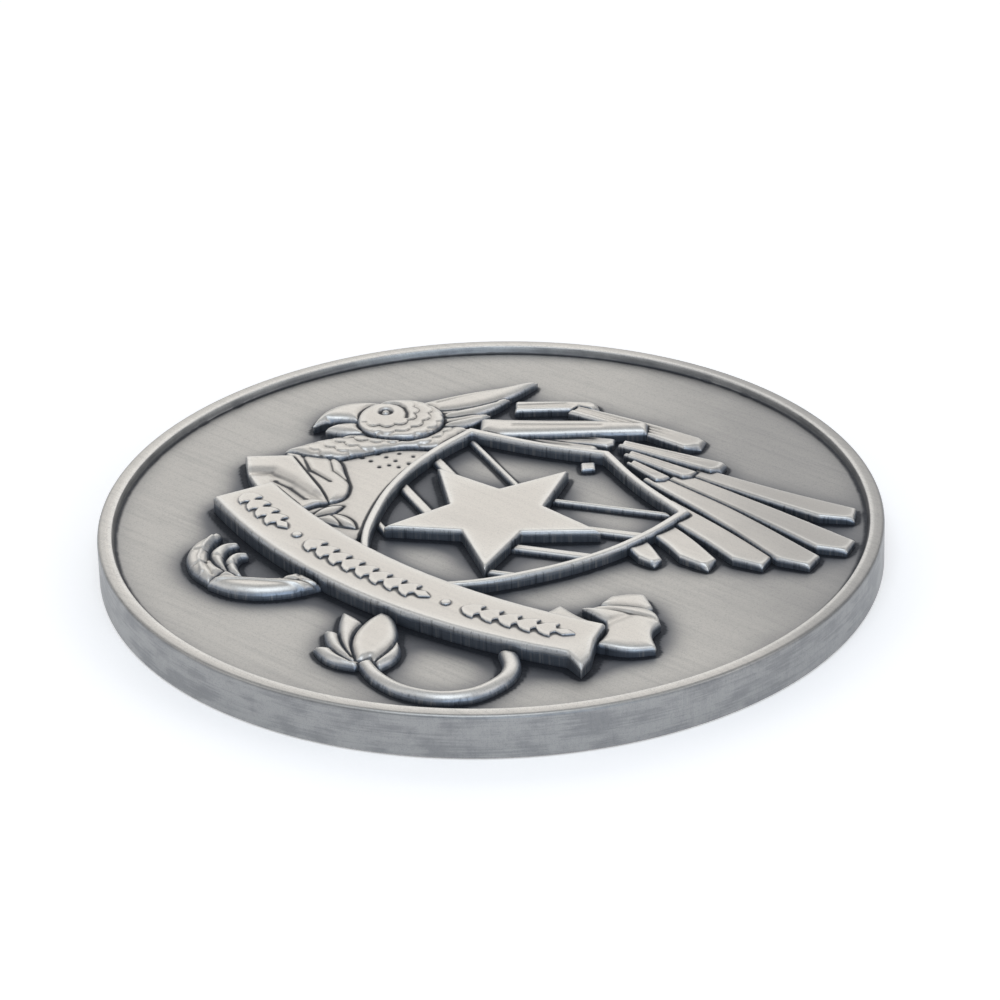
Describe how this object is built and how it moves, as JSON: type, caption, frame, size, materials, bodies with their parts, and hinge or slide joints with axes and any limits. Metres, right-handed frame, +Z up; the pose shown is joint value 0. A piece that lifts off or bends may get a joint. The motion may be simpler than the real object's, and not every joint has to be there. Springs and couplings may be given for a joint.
{
  "type": "challenge coin",
  "caption": "Round struck-metal challenge coin with a raised rim, a shield and star crest with an eagle, wing and ribbon in high relief, and a laurel wreath on the reverse.",
  "frame": {"origin": "centre of the face that the coin lies on, which is the outer face of the reverse rim", "axes": "+Z up through the obverse, +Y towards the top of the crest, +X to the viewer's right when the crest is upright"},
  "size_m": [0.0508, 0.0508, 0.0039],
  "materials": {
    "antique_silver": "satin, finely brushed, dark patina in the corners",
    "relief_silver": "satin, wiped bright on the high points",
    "dark_silver": "satin, darkened"
  },
  "bodies": {
    "root": {"bead_left": "relief_silver", "bead_right": "relief_silver", "breast": "relief_silver", "chevron_1_left": "relief_silver", "chevron_1_right": "relief_silver", "chevron_2_left": "relief_silver", "chevron_2_right": "relief_silver", "chevron_3_left": "relief_silver", "chevron_3_right": "relief_silver", "chevron_4_left": "relief_silver", "chevron_4_right": "relief_silver", "coin_body": "antique_silver", "covert_1": "relief_silver", "covert_2": "relief_silver", "covert_3": "relief_silver", "crest_plume_1": "relief_silver", "crest_plume_2": "relief_silver", "crest_plume_3": "relief_silver", "eagle_head": "relief_silver", "lower_beak": "relief_silver", "neck": "relief_silver", "ornament_left": "relief_silver", "ornament_middle": "relief_silver", "ornament_right": "relief_silver", "primary_1": "relief_silver", "primary_2": "relief_silver", "primary_3": "relief_silver", "primary_4": "relief_silver", "primary_5": "relief_silver", "primary_6": "relief_silver", "reverse_wreath_left": "dark_silver", "reverse_wreath_right": "dark_silver", "ribbon_band": "relief_silver", "ribbon_left_fold": "relief_silver", "ribbon_right_fold": "relief_silver", "ribbon_right_tail": "relief_silver", "ribbon_tail_curl": "relief_silver", "shield_border": "relief_silver", "shield_lozenge": "relief_silver", "shield_star": "relief_silver", "small_covert_1": "relief_silver", "small_covert_2": "relief_silver", "sprig_leaf_1": "relief_silver", "sprig_leaf_2": "relief_silver", "sprig_leaf_3": "relief_silver", "sprig_leaf_4": "relief_silver", "sprig_leaf_5": "relief_silver", "sprig_stem": "relief_silver", "talon_shank": "relief_silver", "talon_toe_front": "relief_silver", "talon_toe_inner": "relief_silver", "talon_toe_middle": "relief_silver", "thigh": "relief_silver", "thigh_plume_1": "relief_silver", "thigh_plume_2": "relief_silver", "upper_beak": "relief_silver", "upper_feather_1": "relief_silver", "upper_feather_2": "relief_silver", "wing_arm": "relief_silver"}
  },
  "joints": []
}
